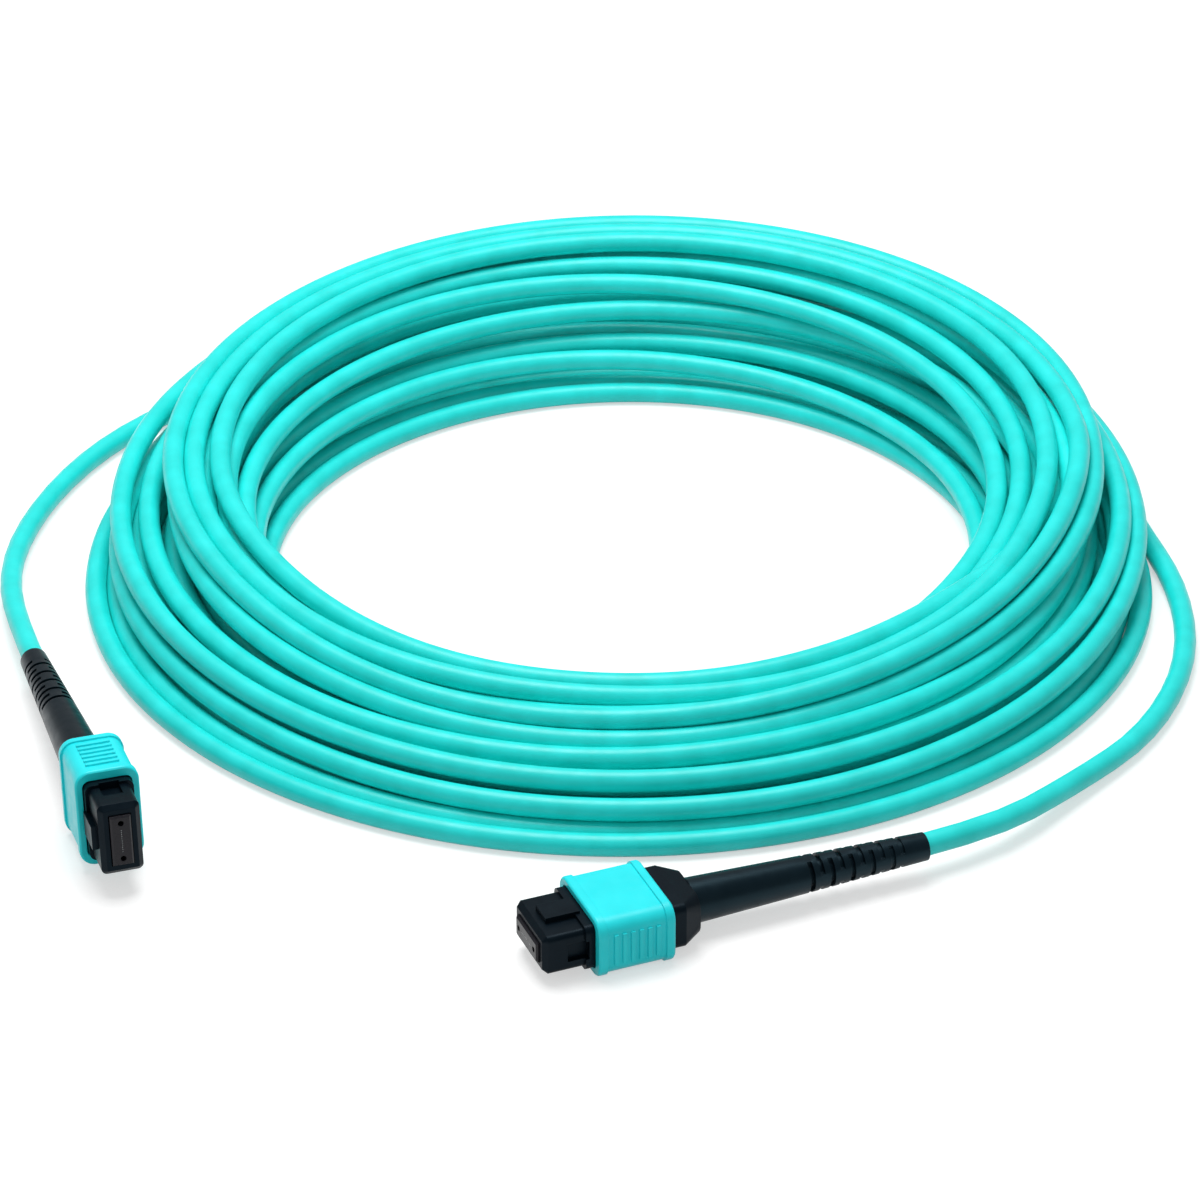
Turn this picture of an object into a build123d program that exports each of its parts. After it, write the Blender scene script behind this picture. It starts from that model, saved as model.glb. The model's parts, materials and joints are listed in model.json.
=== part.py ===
"""Multi-fibre push-on patch cord: two sprung twelve-fibre plugs on one coiled round cable, in millimetres."""
from build123d import *
import math
import os

# Plug A lies flat on the table with its axis along X and its mating face towards -X.
# Each plug is drawn along its own axis: station 0 is the housing's front face, and stations grow
# towards the cable.

# Lengths along a plug
FERRULE_PROUD = 0.4      # ferrule end face ahead of the housing
PLUG_REACH = 6.1         # housing ahead of the collar
COLLAR_LENGTH = 9.4
FLANGE_REACH = 4.0       # rear body behind the collar
BOOT_LENGTH = 30.1
HOUSING_SETBACK = 0.5    # housing's rear end inside the collar

# Fits between pieces, on each side
SLIDE_GAP = 0.1          # collar on housing, ferrule in housing, rear body in housing
SEAT_GAP = 0.05          # pieces that are assembled once and stay
FIBRE_GAP = 0.005

# Plug housing
NOSE_SIDE_WALL = 1.2     # nose walls round the ferrule
NOSE_TOP_WALL = 1.15
NOSE_LENGTH = 5.0
NOSE_LEAD = 0.6          # chamfer round the mating end
NOSE_ROUND = 0.7
BODY_TOP_WALL = 0.8      # rear body's wall above and below the cavity
BODY_ROUND = 0.9
CAVITY_EASE = 0.15       # cavity beside the ferrule's shoulder
GROOVE_SKIN = 0.45       # wall between the cavity and a spring groove
KEY_WIDTH = 3.0
KEY_HEIGHT = 0.7
KEY_SETBACK = 1.4        # key's front end behind the mating face
KEY_COLLAR_GAP = 0.5     # key's rear end ahead of the collar
RECESS_START = 2.9       # latch recesses on the narrow sides
RECESS_LENGTH = 2.5
RECESS_DEPTH = 0.6
RECESS_HEIGHT = 2.4

# Ferrule, its fibres and what rides with it
FERRULE_HEIGHT = 2.5
FERRULE_LENGTH = 8.0
FERRULE_BEVEL = 0.2
HEAD_LENGTH = 1.6        # shoulder at the rear of the ferrule
HEAD_STEP = 0.25         # shoulder beyond the ferrule's narrow sides
HEAD_RISE = 0.45         # shoulder beyond its wide sides
PIN_HOLE = 0.7
PIN_PITCH = 4.6
PIN_WALL = 0.55          # ferrule outside the pin holes
PIN_SLOT_EASE = 0.05     # room beside a pin in the keeper's slots
FIBRE_COUNT = 12
FIBRE_PITCH = 0.25
FIBRE_DIAMETER = 0.125
POCKET_LENGTH = 3.1      # hollow at the ferrule's rear that takes the small boot
GLUE_WINDOW_LENGTH = 1.8
GLUE_WINDOW_SETBACK = 2.4
SMALL_BOOT_SIDE = 0.15   # small boot beside the ribbon
SMALL_BOOT_HEIGHT = 1.5
RIBBON_HEIGHT = 0.3
RIBBON_REACH = 4.2       # ribbon behind the main spring's rear seat
KEEPER_LENGTH = 1.5
KEEPER_WEB = 0.2         # keeper between its window and a pin slot
FERRULE_TRAVEL = 0.7

# Springs
MAIN_SPRING_WIRE = 0.4
MAIN_SPRING_EASE = 0.1   # room between the ribbon's edges and the spring
MAIN_SPRING_TURNS = 5
SIDE_SPRING_DIAMETER = 1.5
SIDE_SPRING_WIRE = 0.25
SIDE_SPRING_TURNS = 8

# Rear body that closes the housing
BLOCK_DEPTH = 1.2        # block inside the housing's rear
ARM_LENGTH = 3.0         # snap arms ahead of the block
ARM_THICKNESS = 0.8
ARM_HEIGHT = 2.2
HOOK_LENGTH = 1.2
FLANGE_TAPER = 2.2       # length of the flange's sloped rear
FLANGE_DROP = 1.0        # how far that slope comes in on each side
PASSAGE_EASE = 0.2       # room round the ribbon and the fibre bundle
POST_WALL = 0.6
POST_LENGTH = 5.6
POST_GROOVES = 3
POST_GROOVE_WIDTH = 0.5
POST_GROOVE_DEPTH = 0.15

# Sliding collar
COLLAR_SKIN = 0.28       # collar outside a spring groove, at the waist
COLLAR_TOP_WALL = 0.85
COLLAR_ROUND = 1.9
RIM_LENGTH = 1.1
RIM_EASE = 0.35          # rounding of the rims' outer edges
WAIST_DEPTH = 0.22       # waist between the rims
RIB_COUNT = 6
RIB_WIDTH = 0.5
RIB_HEIGHT = 4.0
LUG_SETBACK = 0.8        # lug's front face behind the collar's front
LUG_LENGTH = 1.5
LUG_HEIGHT = 1.5
COLLAR_TRAVEL = 2.6

# Crimp, boot and cable
CABLE_DIAMETER = 2.8
CORE_DIAMETER = 1.6      # fibre bundle of the stripped cable
JACKET_GAP = 0.4         # jacket's end behind the post
YARN_THICKNESS = 0.18
RING_WALL = 0.3
RING_SETBACK = 0.5       # ring's front edge behind the flange
RING_CONE = 0.8
RING_NECK = 3.0          # narrow rear of the ring, on the jacket
BOOT_FRONT_WALL = 0.57
BOOT_END_WALL = 0.25
BOOT_CUFF = 1.3          # unslotted rear end
BOOT_SMOOTH = 14.6       # unslotted front of the boot
SLOT_WIDTH = 0.6
SLOT_PITCH = 1.3
SLOT_FLOOR = 0.1         # boot left between a slot and the bore
SPINE_WIDTH = 1.5        # bridges left between the ribs
CABLE_END_HIDDEN = 9.5   # last stretch of the boot, where the free cable starts

# Places on the table
PLUG_B_TIP = (-62.8, 31.7)
PLUG_B_HEADING = 86.0    # from its tip towards its cable, in degrees from X
PLUG_B_LEAN = 4.5        # its cable end hangs lower than its tip
PLUG_B_ROLL = -90.0      # plug B stands on a narrow side
COIL_CENTRE = (20.9, 81.6)
COIL_OUTER = 70.4
COIL_INNER = 44.0
COIL_HEIGHT = 15.0
COIL_SIDE_FLAT = 2.0     # straight band between the rounded edges of the coil's outer shape
EXIT_RUN = 8.0           # straight cable behind each boot
ARC_SHARE = 0.45         # share of the shorter run that a bend of the cable takes up

# Stations worked out from the lengths above
COLLAR_FRONT = PLUG_REACH
COLLAR_REAR = COLLAR_FRONT + COLLAR_LENGTH
FLANGE_END = COLLAR_REAR + FLANGE_REACH
BOOT_END = FLANGE_END + BOOT_LENGTH
HOUSING_END = COLLAR_REAR - HOUSING_SETBACK
FERRULE_FRONT = -FERRULE_PROUD
FERRULE_REAR = FERRULE_FRONT + FERRULE_LENGTH
SHOULDER = FERRULE_REAR - HEAD_LENGTH
KEEPER_REAR = FERRULE_REAR + KEEPER_LENGTH
SPRING_SEAT = HOUSING_END - BLOCK_DEPTH
HOOK_FRONT = SPRING_SEAT - ARM_LENGTH
LUG_FRONT = COLLAR_FRONT + LUG_SETBACK
LUG_REAR = LUG_FRONT + LUG_LENGTH
POST_END = FLANGE_END + POST_LENGTH
JACKET_FRONT = POST_END + JACKET_GAP
RING_FRONT = FLANGE_END + RING_SETBACK
CONE_END = POST_END + RING_CONE
RING_END = CONE_END + RING_NECK
TAIL_START = BOOT_END - CABLE_END_HIDDEN

# Widths and heights, from the fibres outwards; a collar spring lies half in the housing, half in the collar
RIBBON_WIDTH = FIBRE_COUNT * FIBRE_PITCH
SMALL_BOOT_WIDTH = RIBBON_WIDTH + 2 * SMALL_BOOT_SIDE
FERRULE_WIDTH = PIN_PITCH + PIN_HOLE + 2 * PIN_WALL
HEAD_WIDTH = FERRULE_WIDTH + 2 * HEAD_STEP
HEAD_HEIGHT = FERRULE_HEIGHT + 2 * HEAD_RISE
NOSE_WIDTH = FERRULE_WIDTH + 2 * (SLIDE_GAP + NOSE_SIDE_WALL)
NOSE_HEIGHT = FERRULE_HEIGHT + 2 * (SLIDE_GAP + NOSE_TOP_WALL)
MAIN_SPRING_DIAMETER = RIBBON_WIDTH + 2 * (MAIN_SPRING_WIRE + MAIN_SPRING_EASE)
CAVITY_WIDTH = HEAD_WIDTH + 2 * CAVITY_EASE
CAVITY_HEIGHT = MAIN_SPRING_DIAMETER + 2 * SLIDE_GAP
GROOVE_HALF = SIDE_SPRING_DIAMETER / 2 + SEAT_GAP
GROOVE_FLOOR = CAVITY_WIDTH / 2 + GROOVE_SKIN
SIDE_SPRING_OFFSET = GROOVE_FLOOR + GROOVE_HALF
GROOVE_ROOF = SIDE_SPRING_OFFSET + GROOVE_HALF
BODY_WIDTH = 2 * SIDE_SPRING_OFFSET + SLIDE_GAP
BODY_HEIGHT = CAVITY_HEIGHT + 2 * BODY_TOP_WALL
HOLLOW_WIDTH = BODY_WIDTH + 2 * SLIDE_GAP
HOLLOW_HEIGHT = BODY_HEIGHT + 2 * SLIDE_GAP
COLLAR_WIDTH = 2 * (GROOVE_ROOF + COLLAR_SKIN + WAIST_DEPTH)
COLLAR_HEIGHT = HOLLOW_HEIGHT + 2 * COLLAR_TOP_WALL

# Diameters and radii behind the flange
PASSAGE_WIDTH = RIBBON_WIDTH + 2 * PASSAGE_EASE
POST_BORE = CORE_DIAMETER + 2 * PASSAGE_EASE
POST_DIAMETER = POST_BORE + 2 * POST_WALL
POST_RADIUS = POST_DIAMETER / 2
YARN_INNER = POST_RADIUS + SEAT_GAP / 2
YARN_OUTER = YARN_INNER + YARN_THICKNESS
RING_INNER = YARN_OUTER + SEAT_GAP / 2
RING_OUTER = RING_INNER + RING_WALL
NECK_INNER = CABLE_DIAMETER / 2 + SEAT_GAP / 2
NECK_OUTER = NECK_INNER + RING_WALL
BOOT_BORE = CABLE_DIAMETER / 2 + SEAT_GAP
BOOT_FRONT_DIAMETER = 2 * (RING_OUTER + SEAT_GAP + BOOT_FRONT_WALL)
BOOT_END_DIAMETER = 2 * (BOOT_BORE + BOOT_END_WALL)


def slab(start, end, width, height, y=0.0, z=0.0):
    """A box between two stations, centred on (y, z)."""
    return Pos((start + end) / 2, y, z) * Box(end - start, width, height)


def rounded_slab(start, end, width, height, radius):
    """A box between two stations with its four long edges rounded."""
    box = slab(start, end, width, height)
    return fillet(box.edges().filter_by(Axis.X), radius)


def rod(start, end, diameter, y=0.0, z=0.0):
    """A round bar between two stations."""
    return Pos((start + end) / 2, y, z) * Rot(0, 90, 0) * Cylinder(diameter / 2, end - start)


def turned(points):
    """A solid turned about the plug's axis from a closed outline of (station, radius) points."""
    return revolve(make_face(Polyline(*points, close=True)), Axis.X)


def coil_spring(start, end, diameter, wire, turns, y=0.0):
    """A round wire spring that just fits between two stations."""
    height = end - start - wire
    path = Helix(pitch=height / turns, height=height, radius=(diameter - wire) / 2)
    section = Plane(origin=path @ 0, z_dir=path % 0) * Circle(wire / 2)
    return Pos(start + wire / 2, y, 0) * Rot(0, 90, 0) * sweep(section, path=path, is_frenet=True)


def sides():
    """The two narrow sides of a plug."""
    return (-1, 1)


def side_box(side, start, end, inner, outer, height):
    """A box between two stations, from one distance off the axis to another, towards one narrow side."""
    return slab(start, end, outer - inner, height, y=side * (inner + outer) / 2)


def plug_housing():
    """Moulded plug: keyed nose, wider rear body, stepped cavity, latch recesses and spring grooves."""
    nose = rounded_slab(0, NOSE_LENGTH, NOSE_WIDTH, NOSE_HEIGHT, NOSE_ROUND)
    nose = chamfer(nose.faces().sort_by(Axis.X)[0].edges(), NOSE_LEAD)
    body = rounded_slab(NOSE_LENGTH, HOUSING_END, BODY_WIDTH, BODY_HEIGHT, BODY_ROUND)
    key_top = NOSE_HEIGHT / 2 + KEY_HEIGHT
    key = slab(KEY_SETBACK, COLLAR_FRONT - KEY_COLLAR_GAP, KEY_WIDTH, key_top, z=key_top / 2)
    housing = nose + body + key
    housing -= slab(0, SHOULDER, FERRULE_WIDTH + 2 * SLIDE_GAP, FERRULE_HEIGHT + 2 * SLIDE_GAP)
    housing -= slab(SHOULDER, HOUSING_END, CAVITY_WIDTH, CAVITY_HEIGHT)
    recess_end = RECESS_START + RECESS_LENGTH
    hook_end = HOOK_FRONT + HOOK_LENGTH
    for side in sides():
        recess_floor = NOSE_WIDTH / 2 - RECESS_DEPTH
        housing -= side_box(side, RECESS_START, recess_end, recess_floor, BODY_WIDTH / 2, RECESS_HEIGHT)
        housing -= side_box(side, LUG_FRONT, HOUSING_END, GROOVE_FLOOR, BODY_WIDTH / 2, 2 * GROOVE_HALF)
        window_height = ARM_HEIGHT + 2 * SEAT_GAP
        housing -= side_box(side, HOOK_FRONT - SEAT_GAP, hook_end + SEAT_GAP, 0, GROOVE_FLOOR, window_height)
    return housing


def mt_ferrule():
    """Rectangular ferrule: rear shoulder, two guide-pin holes, a row of fibre holes and a glue window."""
    front = slab(FERRULE_FRONT, SHOULDER, FERRULE_WIDTH, FERRULE_HEIGHT)
    front = chamfer(front.faces().sort_by(Axis.X)[0].edges(), FERRULE_BEVEL)
    ferrule = front + slab(SHOULDER, FERRULE_REAR, HEAD_WIDTH, HEAD_HEIGHT)
    pocket_front = FERRULE_REAR - POCKET_LENGTH
    pocket_width = SMALL_BOOT_WIDTH + 2 * SEAT_GAP
    ferrule -= slab(pocket_front, FERRULE_REAR, pocket_width, SMALL_BOOT_HEIGHT + 2 * SEAT_GAP)
    window_start = FERRULE_FRONT + GLUE_WINDOW_SETBACK
    window_end = window_start + GLUE_WINDOW_LENGTH
    ferrule -= slab(window_start, window_end, RIBBON_WIDTH, FERRULE_HEIGHT / 2, z=FERRULE_HEIGHT / 4)
    for side in sides():
        ferrule -= rod(FERRULE_FRONT, FERRULE_REAR, PIN_HOLE, y=side * PIN_PITCH / 2)
    for y in fibre_rows():
        ferrule -= rod(FERRULE_FRONT, pocket_front, FIBRE_DIAMETER + 2 * FIBRE_GAP, y=y)
    return ferrule


def fibre_rows():
    """Where the fibres lie across the ferrule."""
    return [(i - (FIBRE_COUNT - 1) / 2) * FIBRE_PITCH for i in range(FIBRE_COUNT)]


def fibre_ends():
    """The bare fibres, polished level with the ferrule's end face, each a separate solid."""
    pocket_front = FERRULE_REAR - POCKET_LENGTH
    return Part() + [rod(FERRULE_FRONT, pocket_front, FIBRE_DIAMETER, y=y) for y in fibre_rows()]


def ferrule_boot():
    """Soft sleeve in the ferrule's rear pocket, round the ribbon."""
    front = FERRULE_REAR - POCKET_LENGTH
    sleeve = rounded_slab(front, KEEPER_REAR, SMALL_BOOT_WIDTH, SMALL_BOOT_HEIGHT, SMALL_BOOT_HEIGHT / 5)
    return sleeve - slab(front, KEEPER_REAR, RIBBON_WIDTH + SEAT_GAP, RIBBON_HEIGHT + SEAT_GAP)


def pin_keeper():
    """Plate behind the ferrule with a window for the small boot and an empty pin slot at each end."""
    keeper = rounded_slab(FERRULE_REAR, KEEPER_REAR, HEAD_WIDTH, HEAD_HEIGHT, HEAD_RISE)
    window_width = SMALL_BOOT_WIDTH + 2 * SEAT_GAP
    keeper -= slab(FERRULE_REAR, KEEPER_REAR, window_width, SMALL_BOOT_HEIGHT + 2 * SEAT_GAP)
    slot_floor = window_width / 2 + KEEPER_WEB
    slot_height = PIN_HOLE + 2 * PIN_SLOT_EASE
    for side in sides():
        keeper -= side_box(side, FERRULE_REAR, KEEPER_REAR, slot_floor, HEAD_WIDTH / 2, slot_height)
    return keeper


def fibre_ribbon():
    """Flat ribbon that carries the fibres back through the main spring."""
    front = FERRULE_REAR - POCKET_LENGTH
    return slab(front, SPRING_SEAT + RIBBON_REACH, RIBBON_WIDTH, RIBBON_HEIGHT)


def spring_push():
    """Rear body: block and snap arms inside the housing, sloped flange behind it, crimp post."""
    block = slab(SPRING_SEAT, HOUSING_END, CAVITY_WIDTH - 2 * SLIDE_GAP, CAVITY_HEIGHT - 2 * SLIDE_GAP)
    taper_start = FLANGE_END - FLANGE_TAPER
    flange = rounded_slab(HOUSING_END, taper_start, BODY_WIDTH, BODY_HEIGHT, BODY_ROUND)
    wide = Plane.YZ.offset(taper_start) * RectangleRounded(BODY_WIDTH, BODY_HEIGHT, BODY_ROUND)
    end_width = BODY_WIDTH - 2 * FLANGE_DROP
    end_height = BODY_HEIGHT - FLANGE_DROP / 2
    narrow = Plane.YZ.offset(FLANGE_END) * RectangleRounded(end_width, end_height, 2 * BODY_ROUND)
    post = rod(FLANGE_END, POST_END, POST_DIAMETER)
    groove_pitch = POST_LENGTH / (POST_GROOVES + 1)
    for i in range(POST_GROOVES):
        middle = FLANGE_END + (i + 1) * groove_pitch
        half = POST_GROOVE_WIDTH / 2
        groove = rod(middle - half, middle + half, POST_DIAMETER)
        groove -= rod(middle - half, middle + half, POST_DIAMETER - 2 * POST_GROOVE_DEPTH)
        post -= groove
    push = block + flange + loft([wide, narrow]) + post
    arm_outer = CAVITY_WIDTH / 2 - SLIDE_GAP
    arm_inner = arm_outer - ARM_THICKNESS
    hook_tip = GROOVE_FLOOR - SLIDE_GAP
    for side in sides():
        push += side_box(side, HOOK_FRONT, SPRING_SEAT, arm_inner, arm_outer, ARM_HEIGHT)
        push += side_box(side, HOOK_FRONT, HOOK_FRONT + HOOK_LENGTH, arm_inner, hook_tip, ARM_HEIGHT)
    push -= slab(SPRING_SEAT, FLANGE_END, PASSAGE_WIDTH, POST_BORE)
    push -= rod(FLANGE_END, POST_END, POST_BORE)
    return push


def coupling_collar():
    """Sliding collar: waisted sleeve with raised rims, ribbed narrow sides and an inner lug on each."""
    waist = 2 * WAIST_DEPTH
    collar = rounded_slab(COLLAR_FRONT, COLLAR_REAR, COLLAR_WIDTH - waist, COLLAR_HEIGHT - waist,
                          COLLAR_ROUND - WAIST_DEPTH)
    for start, outer_face in ((COLLAR_FRONT, 0), (COLLAR_REAR - RIM_LENGTH, -1)):
        rim = rounded_slab(start, start + RIM_LENGTH, COLLAR_WIDTH, COLLAR_HEIGHT, COLLAR_ROUND)
        collar += fillet(rim.faces().sort_by(Axis.X)[outer_face].edges(), RIM_EASE)
    rib_span = COLLAR_LENGTH - 2 * RIM_LENGTH
    rib_pitch = rib_span / (RIB_COUNT + 1)
    for side in sides():
        for i in range(RIB_COUNT):
            middle = COLLAR_FRONT + RIM_LENGTH + (i + 1) * rib_pitch
            start = middle - RIB_WIDTH / 2
            end = middle + RIB_WIDTH / 2
            collar += side_box(side, start, end, HOLLOW_WIDTH / 2, COLLAR_WIDTH / 2, RIB_HEIGHT)
    collar -= rounded_slab(COLLAR_FRONT, COLLAR_REAR, HOLLOW_WIDTH, HOLLOW_HEIGHT, BODY_ROUND)
    for side in sides():
        collar -= side_box(side, LUG_REAR, COLLAR_REAR, GROOVE_FLOOR, GROOVE_ROOF, 2 * GROOVE_HALF)
        collar += side_box(side, LUG_FRONT, LUG_REAR, GROOVE_FLOOR + SLIDE_GAP, GROOVE_ROOF, LUG_HEIGHT)
    return collar


def collar_spring(side):
    """One of the two springs between a collar lug and the rear body's flange."""
    offset = side * SIDE_SPRING_OFFSET
    return coil_spring(LUG_REAR, HOUSING_END, SIDE_SPRING_DIAMETER, SIDE_SPRING_WIRE, SIDE_SPRING_TURNS,
                       y=offset)


def main_spring():
    """The spring between the pin keeper and the rear body's block."""
    return coil_spring(KEEPER_REAR, SPRING_SEAT, MAIN_SPRING_DIAMETER, MAIN_SPRING_WIRE, MAIN_SPRING_TURNS)


def yarn_sleeve():
    """The cable's aramid yarn, laid back round the crimp post."""
    inside = [(RING_FRONT, YARN_INNER), (POST_END, YARN_INNER)]
    outside = [(POST_END, YARN_OUTER), (RING_FRONT, YARN_OUTER)]
    return turned(inside + outside)


def crimp_ring():
    """Metal ring with a wide front on the yarn, a cone, and a narrow rear on the jacket."""
    inside = [
        (RING_FRONT, RING_INNER),
        (POST_END, RING_INNER),
        (CONE_END, NECK_INNER),
        (RING_END, NECK_INNER),
    ]
    outside = [
        (RING_END, NECK_OUTER),
        (CONE_END, NECK_OUTER),
        (POST_END, RING_OUTER),
        (RING_FRONT, RING_OUTER),
    ]
    return turned(inside + outside)


def strain_boot():
    """Tapered boot: smooth front over the crimp ring, then outer slots, each a quarter turn from the last."""
    wide_bore = RING_OUTER + SEAT_GAP
    neck_bore = NECK_OUTER + SEAT_GAP
    inside = [
        (FLANGE_END, wide_bore),
        (POST_END + SEAT_GAP, wide_bore),
        (CONE_END + SEAT_GAP, neck_bore),
        (RING_END + SEAT_GAP, neck_bore),
        (RING_END + RING_CONE, BOOT_BORE),
        (BOOT_END, BOOT_BORE),
    ]
    outside = [(BOOT_END, BOOT_END_DIAMETER / 2), (FLANGE_END, BOOT_FRONT_DIAMETER / 2)]
    boot = turned(inside + outside)
    slot_start = FLANGE_END + BOOT_SMOOTH
    slot_count = math.floor((BOOT_END - BOOT_CUFF - slot_start) / SLOT_PITCH)
    for i in range(slot_count):
        start = slot_start + i * SLOT_PITCH
        end = start + SLOT_WIDTH
        cut = slab(start, end, BOOT_FRONT_DIAMETER, BOOT_FRONT_DIAMETER)
        cut -= slab(start, end, SPINE_WIDTH, BOOT_FRONT_DIAMETER)
        cut -= rod(start, end, 2 * (BOOT_BORE + SLOT_FLOOR))
        boot -= Rot(90 * (i % 2), 0, 0) * cut
    return boot


def cable_end():
    """Stripped end of the cable: jacket in the ring and the boot, fibre bundle through the crimp post."""
    bundle = rod(SPRING_SEAT + RIBBON_REACH + 2 * FERRULE_TRAVEL, JACKET_FRONT, CORE_DIAMETER)
    return bundle + rod(JACKET_FRONT, TAIL_START, CABLE_DIAMETER)


def plug_pieces():
    """Every piece of one plug, by name, along its own axis."""
    return {
        "plug_housing": plug_housing(),
        "mt_ferrule": mt_ferrule(),
        "fibre_ends": fibre_ends(),
        "ferrule_boot": ferrule_boot(),
        "pin_keeper": pin_keeper(),
        "fibre_ribbon": fibre_ribbon(),
        "main_spring": main_spring(),
        "spring_push": spring_push(),
        "coupling_collar": coupling_collar(),
        "collar_spring_left": collar_spring(-1),
        "collar_spring_right": collar_spring(1),
        "yarn_sleeve": yarn_sleeve(),
        "crimp_ring": crimp_ring(),
        "strain_boot": strain_boot(),
        "cable_end": cable_end(),
    }


def plug_places():
    """Where the two plugs lie: A on a wide side at the origin, B on a narrow side at the cable's far end.

    B leans back towards its cable, on its collar's rear edge, which clears the table as the collar slides.
    """
    half_length = (FERRULE_PROUD + BOOT_END) / 2
    place_a = Pos(FERRULE_PROUD - half_length, 0, COLLAR_HEIGHT / 2)
    tip_x, tip_y = PLUG_B_TIP
    lean = math.radians(PLUG_B_LEAN)
    tip_z = (COLLAR_REAR + COLLAR_TRAVEL) * math.sin(lean) + COLLAR_WIDTH / 2 * math.cos(lean)
    turn = Rot(0, 0, PLUG_B_HEADING) * Rot(0, PLUG_B_LEAN, 0) * Rot(PLUG_B_ROLL, 0, 0)
    place_b = Pos(tip_x, tip_y, tip_z) * turn
    return {"a": place_a, "b": place_b}


def cable_tube(name, points):
    """A round tube of straight runs and large arcs; prints its bends and compares volume with length."""
    corners = [Vector(*p) for p in points]
    runs = [b - a for a, b in zip(corners, corners[1:])]
    radii = []
    for before, after in zip(runs, runs[1:]):
        turn = math.radians(before.get_angle(after))
        radii.append(ARC_SHARE * min(before.length, after.length) / math.tan(turn / 2))
    path = FilletPolyline(*corners, radius=radii)
    tube = sweep(Plane(origin=path @ 0, z_dir=path % 0) * Circle(CABLE_DIAMETER / 2), path=path)
    expected = math.pi * CABLE_DIAMETER ** 2 / 4 * path.length
    print(name, "length", round(path.length, 1), "radii", [round(r, 1) for r in radii],
          "volume ratio", round(tube.volume / expected, 4))
    return tube


def cable_tails(places):
    """The free cable from each boot to the coil; past the boots the points lie where the cable rests."""
    floor = CABLE_DIAMETER / 2

    def axis_point(end, station):
        return tuple((places[end] * Pos(station, 0, 0)).position)

    tail_a = [
        axis_point("a", TAIL_START),
        axis_point("a", BOOT_END + EXIT_RUN),
        (48.6, 8.0, 1.9),
        (63.3, 15.6, floor),
        (76.2, 29.2, floor),
        (83.8, 46.0, floor),
        (86.6, 63.6, floor),
    ]
    tail_b = [
        axis_point("b", TAIL_START),
        axis_point("b", BOOT_END + EXIT_RUN),
        (-55.8, 106.9, 1.9),
        (-46.6, 123.4, floor),
        (-33.2, 137.0, floor),
        (-16.4, 145.4, floor),
        (1.4, 147.4, floor),
    ]
    routes = {"cable_tail_a": tail_a, "cable_tail_b": tail_b}
    return {name: cable_tube(name, points) for name, points in routes.items()}


def cable_coil():
    """Outer shape of the coiled cable: a flat-bottomed ring that its turns fill."""
    edge_round = (COIL_HEIGHT - COIL_SIDE_FLAT) / 2
    outline = RectangleRounded(COIL_OUTER - COIL_INNER, COIL_HEIGHT, edge_round)
    section = Plane.XZ * Pos((COIL_OUTER + COIL_INNER) / 2, COIL_HEIGHT / 2) * outline
    centre_x, centre_y = COIL_CENTRE
    return Pos(centre_x, centre_y, 0) * revolve(section, Axis.Z)


def main():
    os.makedirs("parts", exist_ok=True)
    places = plug_places()
    nodes = {}
    for end, place in places.items():
        for name, piece in plug_pieces().items():
            nodes[f"{name}_{end}"] = place * piece
    nodes.update(cable_tails(places))
    nodes["cable_coil"] = cable_coil()
    for name, solid in nodes.items():
        export_step(solid, f"parts/{name}.step")


main()
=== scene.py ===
"""Looks of a multi-fibre push-on patch cord: its coiled cable, springs, materials, studio and camera."""
import json
import math

import bpy
import numpy as np
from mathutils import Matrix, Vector


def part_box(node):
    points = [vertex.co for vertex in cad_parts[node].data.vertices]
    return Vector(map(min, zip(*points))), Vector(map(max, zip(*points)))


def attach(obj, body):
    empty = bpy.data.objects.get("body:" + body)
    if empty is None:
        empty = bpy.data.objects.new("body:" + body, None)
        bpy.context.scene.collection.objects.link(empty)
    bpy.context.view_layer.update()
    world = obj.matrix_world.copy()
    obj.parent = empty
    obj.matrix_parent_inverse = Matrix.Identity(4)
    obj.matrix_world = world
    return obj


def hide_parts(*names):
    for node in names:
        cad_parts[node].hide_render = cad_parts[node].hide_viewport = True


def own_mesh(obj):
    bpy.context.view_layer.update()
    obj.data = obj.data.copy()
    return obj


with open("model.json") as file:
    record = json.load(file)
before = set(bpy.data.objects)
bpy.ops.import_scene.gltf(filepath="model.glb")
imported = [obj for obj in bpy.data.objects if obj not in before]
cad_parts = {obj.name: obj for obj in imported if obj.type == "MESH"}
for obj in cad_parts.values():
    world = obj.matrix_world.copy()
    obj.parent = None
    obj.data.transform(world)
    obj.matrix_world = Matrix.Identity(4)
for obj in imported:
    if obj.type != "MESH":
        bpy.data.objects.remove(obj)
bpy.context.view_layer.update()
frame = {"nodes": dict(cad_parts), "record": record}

MM = 0.001
ROOT = "plugs_and_cable"
ENDS = ("a", "b")

# Stations along a plug, in millimetres from its housing's front face towards its cable
LUG_REAR = 8.4
KEEPER_REAR = 9.1
MAIN_SPRING_SEAT = 13.8
SIDE_SPRING_SEAT = 15.0
TAIL_START = 40.1
BOOT_END = 49.6

# Springs, in millimetres
SIDE_SPRING_OFFSET = 4.85
SIDE_SPRING_DIAMETER = 1.5
SIDE_SPRING_WIRE = 0.25
SIDE_SPRING_TURNS = 8
MAIN_SPRING_DIAMETER = 4.0
MAIN_SPRING_WIRE = 0.4
MAIN_SPRING_TURNS = 5
WIRE_STEPS = 20          # points on each turn
WIRE_BEVEL = 2           # roundness of the wire's section

# Cable
CABLE_DIAMETER = 2.8 * MM
CABLE_ORDER = 3          # control points that shape each stretch of the curve
CABLE_STEPS = 4          # steps from one control point to the next
CABLE_BEVEL = 5          # roundness of the cable's section
EXIT_RUN = 8.0           # straight run behind each boot, in millimetres

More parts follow.
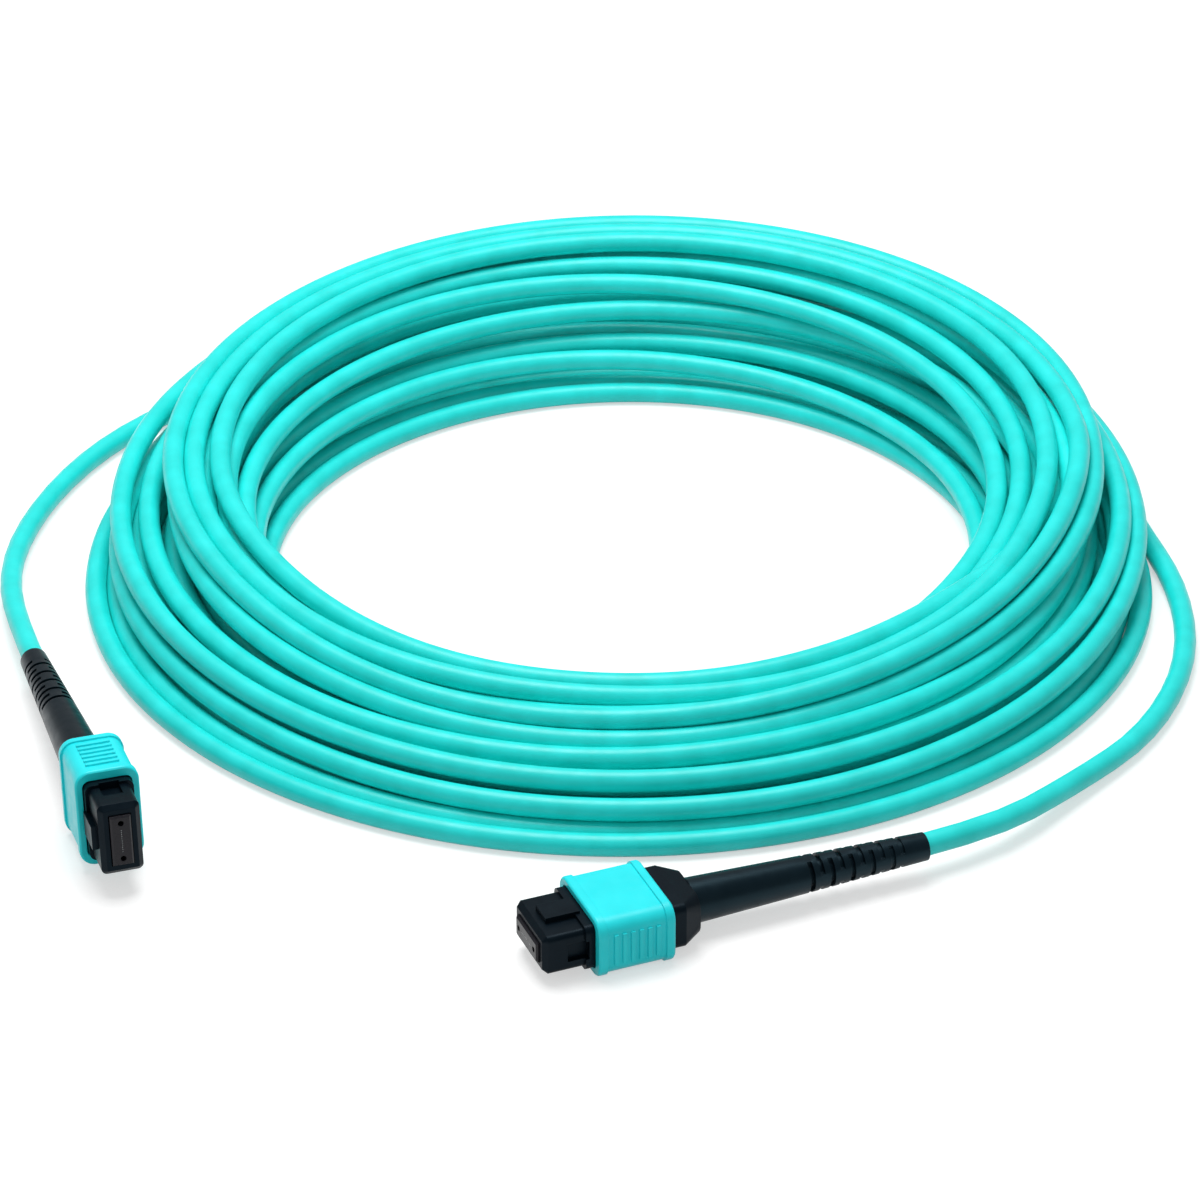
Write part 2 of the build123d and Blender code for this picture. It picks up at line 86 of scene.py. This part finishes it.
# Free cable from the straight run behind each boot to the coil, in millimetres
TAIL_A = [
    (48.6, 8.0, 1.9),
    (63.3, 15.6, 1.4),
    (76.2, 29.2, 1.4),
    (83.8, 46.0, 1.4),
    (86.6, 63.6, 1.4),
]
TAIL_B = [
    (-55.8, 106.9, 1.9),
    (-46.6, 123.4, 1.4),
    (-33.2, 137.0, 1.4),
    (-16.4, 145.4, 1.4),
    (1.4, 147.4, 1.4),
]

# Winding of the coil, in passes from the floor up: turns, first and last radius, height at the front,
# shift of the turns towards the back, and extra height at the back, in millimetres
PASSES = [
    (9, 69.0, 46.8, 1.4, -1.6, 0.0),
    (6, 47.5, 67.0, 3.7, 0.5, 2.6),
    (5, 66.5, 49.0, 5.8, 3.0, 5.2),
    (3, 50.5, 60.0, 7.0, 4.0, 7.8),
    (3, 60.5, 52.5, 8.0, 5.5, 9.8),
]
STATIONS = 48            # points on each turn
END_STATIONS = 16        # points past the last whole turn
PASS_EASE = 0.3          # part of a turn, at both ends of a pass, that leads over to the next pass
COIL_INNER = 45.4        # smallest radius that the turns are laid at before they settle, in millimetres
COIL_OUTER = 69.1        # and the largest
BACK_ANGLE = 67.5        # where the coil's back is, in degrees from X
SIDE_SHARPNESS = 1.5     # how quickly a shifted turn swings from front to back

# Unevenness of the turns
LOW_WOBBLE = 1.2         # of the lowest turns, in millimetres
TOP_WOBBLE = 2.5         # and of the last ones, which lie looser
WOBBLE_SEED = 109
SPARE_DRAWS = 3          # random draws beyond one for each whole turn

# Ends of the winding, in parts of a turn
LEAD_IN = 0.5            # the first part, which comes in from plug A
LEAD_OUT_FLAT = 0.1      # the last part, which lies on the floor
LEAD_OUT_DROP = 0.34     # the part before it, which comes down over the outside of the coil
BULGE_EASE = 0.12        # the last part, in which the bulge goes back to nothing
EXIT_BULGE = 3.4         # how far outside plug B's free cable the coil is left, in millimetres

# Settling of the turns
SETTLE_ROUNDS = 160
ROUND_PUSHES = 4         # pushes in each round
GOAL_PULL = 0.06         # share of the way to its goal that a station goes in each round
STRAIGHTENING = 0.3      # share of the way to the middle between its neighbours
START_STEP = 0.02        # how much higher each turn starts than the one before it, in millimetres
FAR_AWAY = 1000.0        # where stations that aren't used are put, out of reach, in millimetres
LEAST_GAP = 1e-6         # smallest distance that a push is worked out from, in millimetres

# Camera, about the coil's centre on the floor, in metres and degrees
CAMERA_DISTANCE = 0.6
CAMERA_ELEVATION = 29.65
CAMERA_AZIMUTH = -22.46
CAMERA_FIELD = 14.97
CAMERA_NEAR = 0.01
CAMERA_FAR = 20.0

# Width of the photograph, and where the coil's centre is in it, in pixels
FRAME_PIXELS = 1200
COIL_PIXEL = (625.2, 562.4)

# Studio, in metres and watts
WHITE = (1.0, 1.0, 1.0, 1.0)
FLOOR_COLOUR = 0.6
FLOOR_LIFT = 0.55        # what is added to the floor where it is seen
FLOOR_ROUGHNESS = 0.9
FLOOR_HALF = 4.0
ROOM_LIGHT = 0.38
SOFTBOX_POWER = 1.55
SOFTBOX_SIZE = 0.3
SOFTBOX_PLACE = (0.0, 0.14, 0.4)

# Surfaces
TONE_PATCH = 4.0 * MM    # patches of darker and lighter plastic
GLOSS_PATCH = 1.5 * MM   # patches of duller and brighter surface
GRAIN_DETAIL = 4.0       # layers of finer noise in a moulded grain
NOISE_LOW = 0.3          # noise that gives the first of two tones or glosses
NOISE_HIGH = 0.7         # and the second
EDGE_RADIUS = 0.08 * MM  # how far moulded edges are eased
EDGE_SAMPLES = 4


def mount(name):
    """One of the record's mounts."""
    return next(row for row in frame["record"]["mounts"] if row["name"] == name)


def plug_axis(end):
    """Direction of a plug from its mating face to its cable."""
    return -Vector(mount(f"plug_nose_{end}")["axis"]).normalized()


def plug_across(end):
    """Direction from a plug's right pin hole to its left one."""
    left = Vector(mount(f"pin_hole_left_{end}")["pos_m"])
    right = Vector(mount(f"pin_hole_right_{end}")["pos_m"])
    return (left - right).normalized()


def axis_point(end, station):
    """Place on a plug's axis, from its station in millimetres."""
    return Vector(mount(f"plug_nose_{end}")["pos_m"]) + plug_axis(end) * station * MM


def coil_centre():
    """Middle of the coil on the floor."""
    low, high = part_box("cable_coil")
    return Vector(((low.x + high.x) / 2, (low.y + high.y) / 2, 0.0))


def smooth_step(x):
    """Eases from 0 to 1 as x goes from 0 to 1."""
    x = np.clip(x, 0, 1)
    return x * x * (3 - 2 * x)


def polar(point):
    """Distance from the coil's centre in millimetres, and angle in radians, of a route's point."""
    offset = Vector(point) - coil_centre() / MM
    return math.hypot(offset.x, offset.y), math.atan2(offset.y, offset.x)


def lay_passes(wound, from_side):
    """Radius and height that the passes give each station, from the turns wound so far and its angle."""
    knots = []
    begun = 0
    for count, first, last, height, shift, lift in PASSES:
        knots.append((begun + PASS_EASE, first, height, shift, lift))
        knots.append((begun + count - PASS_EASE, last, height, shift, lift))
        begun += count
    when, radius, height, shift, lift = zip(*knots)
    swing = np.tanh(SIDE_SHARPNESS * np.sin(from_side)) / math.tanh(SIDE_SHARPNESS)
    r = np.interp(wound, when, radius) + np.interp(wound, when, shift) * swing
    z = np.interp(wound, when, height) + np.interp(wound, when, lift) * (1 + np.sin(from_side)) / 2
    return r, z


def loosen(r, wound, from_side, draws):
    """Makes the turns' radius uneven, by slow waves that differ from turn to turn."""
    random = np.random.default_rng(WOBBLE_SEED)
    each_turn = np.arange(draws)
    looseness = LOW_WOBBLE + (TOP_WOBBLE - LOW_WOBBLE) * (wound / wound[-1]) ** 2
    for waves in (1, 2):
        size = np.interp(wound, each_turn, random.normal(0, 1 / waves, draws))
        phase = np.interp(wound, each_turn, random.uniform(0, 2 * math.pi, draws))
        r += looseness * size * np.sin(waves * from_side + phase)
    return np.clip(r, COIL_INNER, COIL_OUTER)


def coil_goals():
    """Radius and height that each station of the winding aims for, in millimetres, and its angle."""
    turns = sum(row[0] for row in PASSES)
    wound = np.arange(turns * STATIONS + END_STATIONS + 1) / STATIONS
    start_radius, start_angle = polar(TAIL_A[-1])
    end_radius, _ = polar(TAIL_B[-1])
    angle = start_angle + 2 * math.pi * wound
    from_side = angle - math.radians(BACK_ANGLE - 90)
    r, z = lay_passes(wound, from_side)
    r = loosen(r, wound, from_side, turns + SPARE_DRAWS)

    # The cable comes in on the floor, and leaves over the outside of the coil, down to the floor
    left = wound[-1] - wound
    r = start_radius + (r - start_radius) * np.clip(wound / LEAD_IN, 0, 1)
    outside = end_radius + EXIT_BULGE * np.clip(left / BULGE_EASE, 0, 1)
    staying = smooth_step((left - LEAD_OUT_FLAT) / LEAD_OUT_DROP)
    r = outside + (r - outside) * staying
    floor = CABLE_DIAMETER / MM / 2
    z = floor + (z - floor) * staying
    return r, z, angle


def push_apart(r, z):
    """Pushes turns away from each other where they lie closer than the cable is thick."""
    thick = CABLE_DIAMETER / MM
    n = len(r)
    rows = -(-n // STATIONS)
    spare = (0, rows * STATIONS - n)
    grid_r = np.pad(r, spare, constant_values=FAR_AWAY).reshape(rows, STATIONS)
    grid_z = np.pad(z, spare, constant_values=FAR_AWAY).reshape(rows, STATIONS)
    across = grid_r[:, None] - grid_r[None]
    above = grid_z[:, None] - grid_z[None]
    apart = np.hypot(across, above)
    itself = np.eye(rows, dtype=bool)[:, :, None]
    overlap = np.where(itself, 0, np.clip(thick - apart, 0, None))
    push = overlap / np.maximum(apart, LEAST_GAP) / 2
    share = np.sqrt(np.maximum((overlap > 0).sum(1), 1))
    r += ((across * push).sum(1) / share).ravel()[:n]
    z += ((above * push).sum(1) / share).ravel()[:n]
    np.maximum(z, thick / 2, out=z)


def settle(goal_r, goal_z):
    """Lets the turns push each other apart, while the cable's line stays smooth and near its goals."""
    r = goal_r.copy()
    z = goal_z + START_STEP * np.arange(len(goal_z)) / STATIONS
    for _ in range(SETTLE_ROUNDS):
        for line, goal in ((r, goal_r), (z, goal_z)):
            line += GOAL_PULL * (goal - line)
            line[1:-1] += STRAIGHTENING * ((line[:-2] + line[2:]) / 2 - line[1:-1])
        for _ in range(ROUND_PUSHES):
            push_apart(r, z)
            for line, goal in ((r, goal_r), (z, goal_z)):
                line[0] = goal[0]
                line[-1] = goal[-1]
    return r, z


def coil_points():
    """Control points of the coil, without the two that the free cable ends on."""
    goal_r, goal_z, angle = coil_goals()
    r, z = settle(goal_r, goal_z)
    centre = coil_centre()
    stations = zip(r[1:-1].tolist(), angle[1:-1].tolist(), z[1:-1].tolist())
    return [
        centre + Vector((radius * math.cos(a), radius * math.sin(a), height)) * MM
        for radius, a, height in stations
    ]


def tail_points(end, route):
    """Control points of a plug's free cable, from inside its boot to the coil."""
    straight = [axis_point(end, TAIL_START), axis_point(end, BOOT_END + EXIT_RUN)]
    return straight + [Vector(p) * MM for p in route]


def add_object(name, data):
    """A new object in the scene."""
    piece = bpy.data.objects.new(name, data)
    bpy.context.scene.collection.objects.link(piece)
    return piece


def new_tube(name, kind, points, diameter, bevel):
    """A round, closed tube along some points: the curve and its spline."""
    curve = bpy.data.curves.new(name, "CURVE")
    curve.dimensions = "3D"
    spline = curve.splines.new(kind)
    spline.points.add(len(points) - 1)
    for target, p in zip(spline.points, points):
        target.co = (*p, 1.0)
    curve.bevel_depth = diameter / 2
    curve.bevel_resolution = bevel
    curve.use_fill_caps = True
    return curve, spline


def make_cable(material):
    """The whole cable as one smooth tube: out of plug A's boot, round the coil, and into plug B's boot."""
    points = tail_points("a", TAIL_A) + coil_points() + tail_points("b", TAIL_B)[::-1]
    curve, spline = new_tube("cable", "NURBS", points, CABLE_DIAMETER, CABLE_BEVEL)
    spline.order_u = CABLE_ORDER
    spline.use_endpoint_u = True
    curve.resolution_u = CABLE_STEPS
    curve.materials.append(material)
    return add_object("cable", curve)


def make_spring(name, end, start, seat, diameter, wire, turns, offset, material):
    """A wire spring between two stations of a plug, as a mesh of its own."""
    along = plug_axis(end)
    across = plug_across(end)
    upright = along.cross(across)
    middle = axis_point(end, start + wire / 2) + across * offset * MM
    rise = (seat - start - wire) * MM
    radius = (diameter - wire) / 2 * MM
    steps = turns * WIRE_STEPS
    points = []
    for i in range(steps + 1):
        angle = 2 * math.pi * i / WIRE_STEPS
        outward = across * math.cos(angle) + upright * math.sin(angle)
        points.append(middle + along * rise * i / steps + outward * radius)
    curve, _ = new_tube(name, "POLY", points, wire * MM, WIRE_BEVEL)
    drawn = add_object(f"{name}_line", curve)
    mesh = bpy.data.meshes.new_from_object(drawn.evaluated_get(bpy.context.evaluated_depsgraph_get()))
    bpy.data.objects.remove(drawn)
    mesh.name = name
    mesh.materials.clear()
    mesh.materials.append(material)
    return add_object(name, mesh)


def fit_spring(piece, node, end):
    """Puts a spring in for its node: hangs it on the plugs' body, hides the node and gives the spring a
    mesh of its own.
    """
    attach(piece, ROOT)
    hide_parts(f"{node}_{end}")
    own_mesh(piece)


def fit_springs(end, material):
    """The three springs of a plug, which stand in for its spring nodes."""
    main = make_spring(
        f"main_spring_wire_{end}", end, KEEPER_REAR, MAIN_SPRING_SEAT,
        MAIN_SPRING_DIAMETER, MAIN_SPRING_WIRE, MAIN_SPRING_TURNS, 0.0, material,
    )
    fit_spring(main, "main_spring", end)
    pieces = [main]
    for side, offset in (("left", -SIDE_SPRING_OFFSET), ("right", SIDE_SPRING_OFFSET)):
        piece = make_spring(
            f"collar_spring_wire_{side}_{end}", end, LUG_REAR, SIDE_SPRING_SEAT,
            SIDE_SPRING_DIAMETER, SIDE_SPRING_WIRE, SIDE_SPRING_TURNS, offset, material,
        )
        fit_spring(piece, f"collar_spring_{side}", end)
        pieces.append(piece)
    return pieces


def socket_name(word):
    """A socket's name in the shader editor, from its name as a keyword."""
    return word.replace("_", " ").title().replace("Ior", "IOR")


def new_material(name, **sockets):
    """A new material, its node tree and its principled shader, with the shader's plain values set."""
    material = bpy.data.materials.new(name)
    material.use_nodes = True
    shader = material.node_tree.nodes["Principled BSDF"]
    for socket, value in sockets.items():
        shader.inputs[socket_name(socket)].default_value = value
    return material, material.node_tree, shader


def new_node(tree, kind, **sockets):
    """A new node with its input values set."""
    node = tree.nodes.new(kind)
    for socket, value in sockets.items():
        node.inputs[socket_name(socket)].default_value = value
    return node


def place_texture(tree, stretch=(1.0, 1.0, 1.0)):
    """Places on the object in metres, stretched where a pattern runs one way."""
    places = tree.nodes.new("ShaderNodeTexCoord")
    scaled = new_node(tree, "ShaderNodeMapping", scale=stretch)
    tree.links.new(places.outputs["Object"], scaled.inputs["Vector"])
    return scaled.outputs["Vector"]


def noise(tree, places, size, detail=2.0):
    """Soft noise with patches of one size, in metres."""
    node = new_node(tree, "ShaderNodeTexNoise", scale=1 / size, detail=detail)
    tree.links.new(places, node.inputs["Vector"])
    return node.outputs["Fac"]


def tones(tree, shader, factor, dark, light):
    """Colour that varies between two tones."""
    ramp = tree.nodes.new("ShaderNodeValToRGB")
    first, second = ramp.color_ramp.elements
    first.position = NOISE_LOW
    second.position = NOISE_HIGH
    first.color = (*dark, 1.0)
    second.color = (*light, 1.0)
    tree.links.new(factor, ramp.inputs["Fac"])
    tree.links.new(ramp.outputs["Color"], shader.inputs["Base Color"])


def gloss(tree, shader, factor, smooth, rough):
    """Roughness that varies between two values."""
    spread = new_node(
        tree, "ShaderNodeMapRange",
        from_min=NOISE_LOW, from_max=NOISE_HIGH, to_min=smooth, to_max=rough,
    )
    tree.links.new(factor, spread.inputs["Value"])
    tree.links.new(spread.outputs["Result"], shader.inputs["Roughness"])


def relief(tree, shader, factor, depth, edge=0.0):
    """Bump of one depth, in metres, on edges that are eased by a small radius."""
    bump = new_node(tree, "ShaderNodeBump", distance=depth)
    tree.links.new(factor, bump.inputs["Height"])
    if edge:
        eased = new_node(tree, "ShaderNodeBevel", radius=edge)
        eased.samples = EDGE_SAMPLES
        tree.links.new(eased.outputs["Normal"], bump.inputs["Normal"])
    tree.links.new(bump.outputs["Normal"], shader.inputs["Normal"])


def moulded(name, dark, light, smooth, rough, grain, depth, edge=EDGE_RADIUS, **sockets):
    """Moulded plastic or rubber: two close tones in patches, uneven gloss, fine grain and eased edges."""
    material, tree, shader = new_material(name, **sockets)
    places = place_texture(tree)
    tones(tree, shader, noise(tree, places, TONE_PATCH), dark, light)
    gloss(tree, shader, noise(tree, places, GLOSS_PATCH), smooth, rough)
    relief(tree, shader, noise(tree, places, grain, GRAIN_DETAIL), depth, edge)
    return material


def black_look():
    """Housing and rear body: satin black, with a faint cool sheen."""
    return moulded(
        "moulded_black",
        dark=(0.001, 0.0038, 0.007),
        light=(0.0022, 0.006, 0.01),
        smooth=0.3,
        rough=0.42,
        grain=0.1 * MM,
        depth=0.005 * MM,
        specular_ior_level=0.12,
        specular_tint=(0.55, 0.8, 1.0, 1.0),
    )


def boot_look():
    """Boot: black rubber with a coarser grain and a stronger cool sheen than the housing."""
    return moulded(
        "boot_black",
        dark=(0.0012, 0.0042, 0.0075),
        light=(0.0025, 0.0065, 0.011),
        smooth=0.3,
        rough=0.42,
        grain=0.16 * MM,
        depth=0.01 * MM,
        specular_ior_level=0.28,
        specular_tint=(0.4, 0.8, 1.0, 1.0),
    )


def collar_look():
    """Collar: brighter aqua with a fine spark-eroded grain."""
    return moulded(
        "collar_aqua",
        dark=(0.014, 0.8, 0.86),
        light=(0.02, 0.86, 0.92),
        smooth=0.3,
        rough=0.42,
        grain=0.12 * MM,
        depth=0.006 * MM,
        specular_ior_level=0.3,
    )


def jacket_look():
    """Extruded cable jacket: satin aqua, faintly mottled, with a fine uneven skin."""
    return moulded(
        "jacket_aqua",
        dark=(0.011, 0.73, 0.69),
        light=(0.017, 0.83, 0.8),
        smooth=0.34,
        rough=0.44,
        grain=0.5 * MM,
        depth=0.012 * MM,
        edge=0.0,
        specular_ior_level=0.4,
    )


def keeper_look():
    """Pin keeper: plain dark grey plastic."""
    return moulded(
        "keeper_dark",
        dark=(0.04, 0.04, 0.044),
        light=(0.055, 0.055, 0.06),
        smooth=0.35,
        rough=0.5,
        grain=0.1 * MM,
        depth=0.004 * MM,
    )


def sleeve_look():
    """Small sleeve behind the ferrule: pale, dull rubber."""
    return moulded(
        "sleeve_pale",
        dark=(0.52, 0.52, 0.5),
        light=(0.64, 0.64, 0.62),
        smooth=0.5,
        rough=0.7,
        grain=0.2 * MM,
        depth=0.008 * MM,
    )


def ribbon_look():
    """Fibre ribbon: pale bluish coating."""
    return moulded(
        "ribbon_coat",
        dark=(0.46, 0.52, 0.58),
        light=(0.58, 0.64, 0.68),
        smooth=0.3,
        rough=0.45,
        grain=0.1 * MM,
        depth=0.004 * MM,
    )


def ferrule_look():
    """Ferrule: dark filled resin with fine paler specks, ground and polished."""
    material, tree, shader = new_material("ferrule_resin", specular_ior_level=0.22)
    places = place_texture(tree)
    specks = new_node(tree, "ShaderNodeTexVoronoi", scale=1 / (0.06 * MM))
    tree.links.new(places, specks.inputs["Vector"])
    tones(tree, shader, specks.outputs["Color"], dark=(0.008, 0.008, 0.011), light=(0.016, 0.015, 0.021))
    gloss(tree, shader, noise(tree, places, GLOSS_PATCH), smooth=0.24, rough=0.36)
    relief(tree, shader, noise(tree, places, 0.05 * MM), depth=0.001 * MM, edge=0.04 * MM)
    return material


def fibre_look():
    """Bare glass fibre: clear, with a little unevenness where it was polished."""
    material, tree, shader = new_material("fibre_glass", transmission_weight=0.7)
    places = place_texture(tree)
    tones(tree, shader, noise(tree, places, 0.03 * MM), dark=(0.72, 0.8, 0.82), light=(0.86, 0.92, 0.94))
    gloss(tree, shader, noise(tree, places, 0.02 * MM), smooth=0.05, rough=0.12)
    return material


def wire_look():
    """Drawn spring wire: bright metal, finely uneven in tone and gloss."""
    material, tree, shader = new_material("spring_steel", metallic=1.0)
    places = place_texture(tree)
    tones(tree, shader, noise(tree, places, 0.4 * MM), dark=(0.5, 0.5, 0.51), light=(0.64, 0.64, 0.65))
    gloss(tree, shader, noise(tree, places, 0.1 * MM), smooth=0.2, rough=0.34)
    relief(tree, shader, noise(tree, places, 0.05 * MM), depth=0.002 * MM)
    return material


def crimp_look():
    """Crimp ring: plain metal, turned, so its fine lines run round it."""
    material, tree, shader = new_material("crimp_metal", metallic=1.0)
    places = place_texture(tree)
    lines = place_texture(tree, stretch=(1.0, 0.08, 0.08))
    tones(tree, shader, noise(tree, places, 0.5 * MM), dark=(0.6, 0.6, 0.6), light=(0.74, 0.74, 0.75))
    gloss(tree, shader, noise(tree, lines, 0.04 * MM), smooth=0.22, rough=0.38)
    relief(tree, shader, noise(tree, lines, 0.04 * MM), depth=0.003 * MM, edge=0.05 * MM)
    return material


def yarn_look():
    """Aramid yarn: golden filaments laid along the cable."""
    material, tree, shader = new_material("aramid_yarn", sheen_weight=0.3)
    filaments = place_texture(tree, stretch=(0.06, 1.0, 1.0))
    strands = noise(tree, filaments, 0.05 * MM, detail=3.0)
    tones(tree, shader, strands, dark=(0.52, 0.36, 0.06), light=(0.82, 0.64, 0.18))
    gloss(tree, shader, strands, smooth=0.5, rough=0.7)
    relief(tree, shader, strands, depth=0.03 * MM)
    return material


def dress_nodes(looks):
    """Gives every CAD node the look of its material slot."""
    for row in frame["record"]["subparts"]:
        mesh = frame["nodes"][row["node"]].data
        mesh.materials.clear()
        mesh.materials.append(looks[row["material_slot"]])


def make_camera():
    """Camera at the photograph's angle, aimed at the coil's centre and shifted to its framing."""
    data = bpy.data.cameras.new("camera")
    camera = add_object("camera", data)
    azimuth = math.radians(CAMERA_AZIMUTH)
    elevation = math.radians(CAMERA_ELEVATION)
    back = Vector((
        math.sin(azimuth) * math.cos(elevation),
        -math.cos(azimuth) * math.cos(elevation),
        math.sin(elevation),
    ))
    camera.location = coil_centre() + back * CAMERA_DISTANCE
    camera.rotation_euler = (-back).to_track_quat("-Z", "Y").to_euler()
    data.angle = math.radians(CAMERA_FIELD)
    middle = FRAME_PIXELS / 2
    data.shift_x = (middle - COIL_PIXEL[0]) / FRAME_PIXELS
    data.shift_y = (COIL_PIXEL[1] - middle) / FRAME_PIXELS
    data.clip_start = CAMERA_NEAR
    data.clip_end = CAMERA_FAR
    bpy.context.scene.camera = camera


def floor_look():
    """White floor that takes shadows; what the camera, gloss and glass see of it is lifted to white."""
    material, tree, shader = new_material(
        "floor_white",
        base_color=(FLOOR_COLOUR, FLOOR_COLOUR, FLOOR_COLOUR, 1.0),
        roughness=FLOOR_ROUGHNESS,
        specular_ior_level=0.0,
        emission_color=WHITE,
    )
    path = tree.nodes.new("ShaderNodeLightPath")
    seen = path.outputs["Is Camera Ray"]
    for ray in ("Is Glossy Ray", "Is Transmission Ray"):
        either = tree.nodes.new("ShaderNodeMath")
        either.operation = "MAXIMUM"
        tree.links.new(seen, either.inputs[0])
        tree.links.new(path.outputs[ray], either.inputs[1])
        seen = either.outputs["Value"]
    lift = tree.nodes.new("ShaderNodeMath")
    lift.operation = "MULTIPLY"
    lift.inputs[1].default_value = FLOOR_LIFT
    tree.links.new(seen, lift.inputs[0])
    tree.links.new(lift.outputs["Value"], shader.inputs["Emission Strength"])
    return material


def make_floor():
    """Plain pale floor."""
    mesh = bpy.data.meshes.new("floor")
    half = FLOOR_HALF
    corners = [(-half, -half, 0), (half, -half, 0), (half, half, 0), (-half, half, 0)]
    mesh.from_pydata(corners, [], [(0, 1, 2, 3)])
    floor = add_object("floor", mesh)
    mesh.materials.append(floor_look())


def make_light():
    """Soft studio light: an even white room and one large lamp above."""
    world = bpy.data.worlds.new("studio")
    world.use_nodes = True
    background = world.node_tree.nodes["Background"]
    background.inputs["Color"].default_value = WHITE
    background.inputs["Strength"].default_value = ROOM_LIGHT
    bpy.context.scene.world = world
    lamp = bpy.data.lights.new("softbox", "AREA")
    lamp.shape = "DISK"
    lamp.size = SOFTBOX_SIZE
    lamp.energy = SOFTBOX_POWER
    softbox = add_object("softbox", lamp)
    softbox.location = SOFTBOX_PLACE
    aim = coil_centre() - softbox.location
    softbox.rotation_euler = aim.to_track_quat("-Z", "Y").to_euler()


# Looks by material slot
looks = {
    "black_plastic": black_look(),
    "boot_rubber": boot_look(),
    "collar_plastic": collar_look(),
    "cable_jacket": jacket_look(),
    "ferrule_resin": ferrule_look(),
    "keeper_resin": keeper_look(),
    "soft_sleeve": sleeve_look(),
    "fibre_glass": fibre_look(),
    "ribbon_coat": ribbon_look(),
    "spring_steel": wire_look(),
    "crimp_metal": crimp_look(),
    "aramid_yarn": yarn_look(),
}
dress_nodes(looks)

cable = make_cable(looks["cable_jacket"])
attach(cable, ROOT)
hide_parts("cable_tail_a", "cable_coil", "cable_tail_b")
springs = {end: fit_springs(end, looks["spring_steel"]) for end in ENDS}

make_camera()
make_floor()
make_light()
bpy.context.scene.view_settings.view_transform = "Standard"
